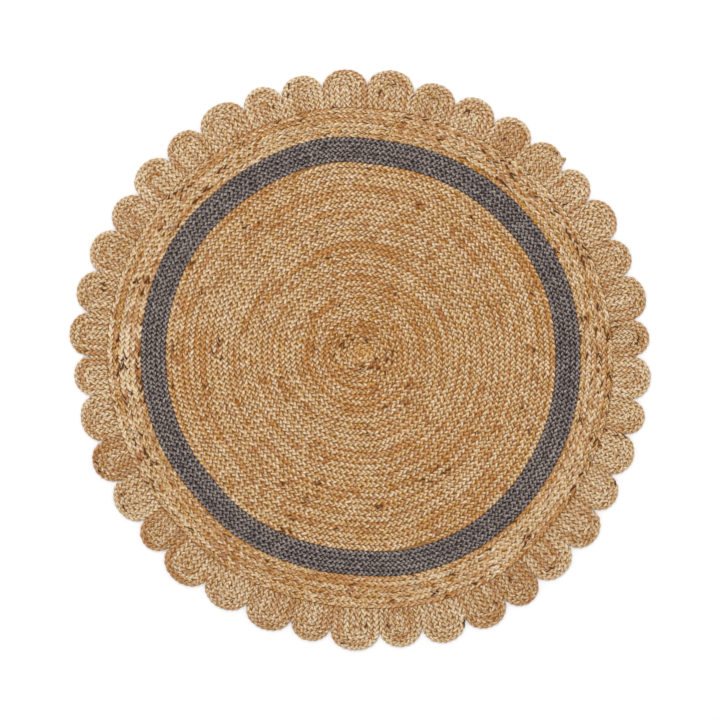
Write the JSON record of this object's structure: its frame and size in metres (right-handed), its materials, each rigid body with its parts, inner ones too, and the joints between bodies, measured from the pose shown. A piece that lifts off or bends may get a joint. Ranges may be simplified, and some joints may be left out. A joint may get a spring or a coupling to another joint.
{
  "type": "round jute rug",
  "caption": "Round flat rug of coiled plaited jute with a dyed band, a plain border and a scalloped edge.",
  "frame": {"origin": "centre of the plaited coil, on the flat underside that rests on the floor", "axes": "+Z up out of the pile side, +X and +Y along the floor; seen from above with +Y up it lies as in the picture"},
  "size_m": [1.2002, 1.2005, 0.008],
  "materials": {
    "natural_jute": "matt undyed jute plait, golden tan with orange-brown and straw streaks",
    "grey_jute": "matt jute plait dyed charcoal grey",
    "scallop_jute": "matt undyed jute plait, slightly greyer and more even tan"
  },
  "bodies": {
    "root": {"coiled_field": "natural_jute", "grey_band": "grey_jute", "plain_border": "natural_jute", "scallop_01": "scallop_jute", "scallop_02": "scallop_jute", "scallop_03": "scallop_jute", "scallop_04": "scallop_jute", "scallop_05": "scallop_jute", "scallop_06": "scallop_jute", "scallop_07": "scallop_jute", "scallop_08": "scallop_jute", "scallop_09": "scallop_jute", "scallop_10": "scallop_jute", "scallop_11": "scallop_jute", "scallop_12": "scallop_jute", "scallop_13": "scallop_jute", "scallop_14": "scallop_jute", "scallop_15": "scallop_jute", "scallop_16": "scallop_jute", "scallop_17": "scallop_jute", "scallop_18": "scallop_jute", "scallop_19": "scallop_jute", "scallop_20": "scallop_jute", "scallop_21": "scallop_jute", "scallop_22": "scallop_jute", "scallop_23": "scallop_jute", "scallop_24": "scallop_jute", "scallop_25": "scallop_jute", "scallop_26": "scallop_jute", "scallop_27": "scallop_jute", "scallop_28": "scallop_jute", "scallop_29": "scallop_jute", "scallop_30": "scallop_jute", "scallop_31": "scallop_jute", "scallop_32": "scallop_jute", "scallop_33": "scallop_jute", "scallop_34": "scallop_jute", "scallop_35": "scallop_jute", "scallop_36": "scallop_jute", "scallop_37": "scallop_jute", "scallop_38": "scallop_jute", "scallop_39": "scallop_jute", "scallop_40": "scallop_jute"}
  },
  "joints": []
}
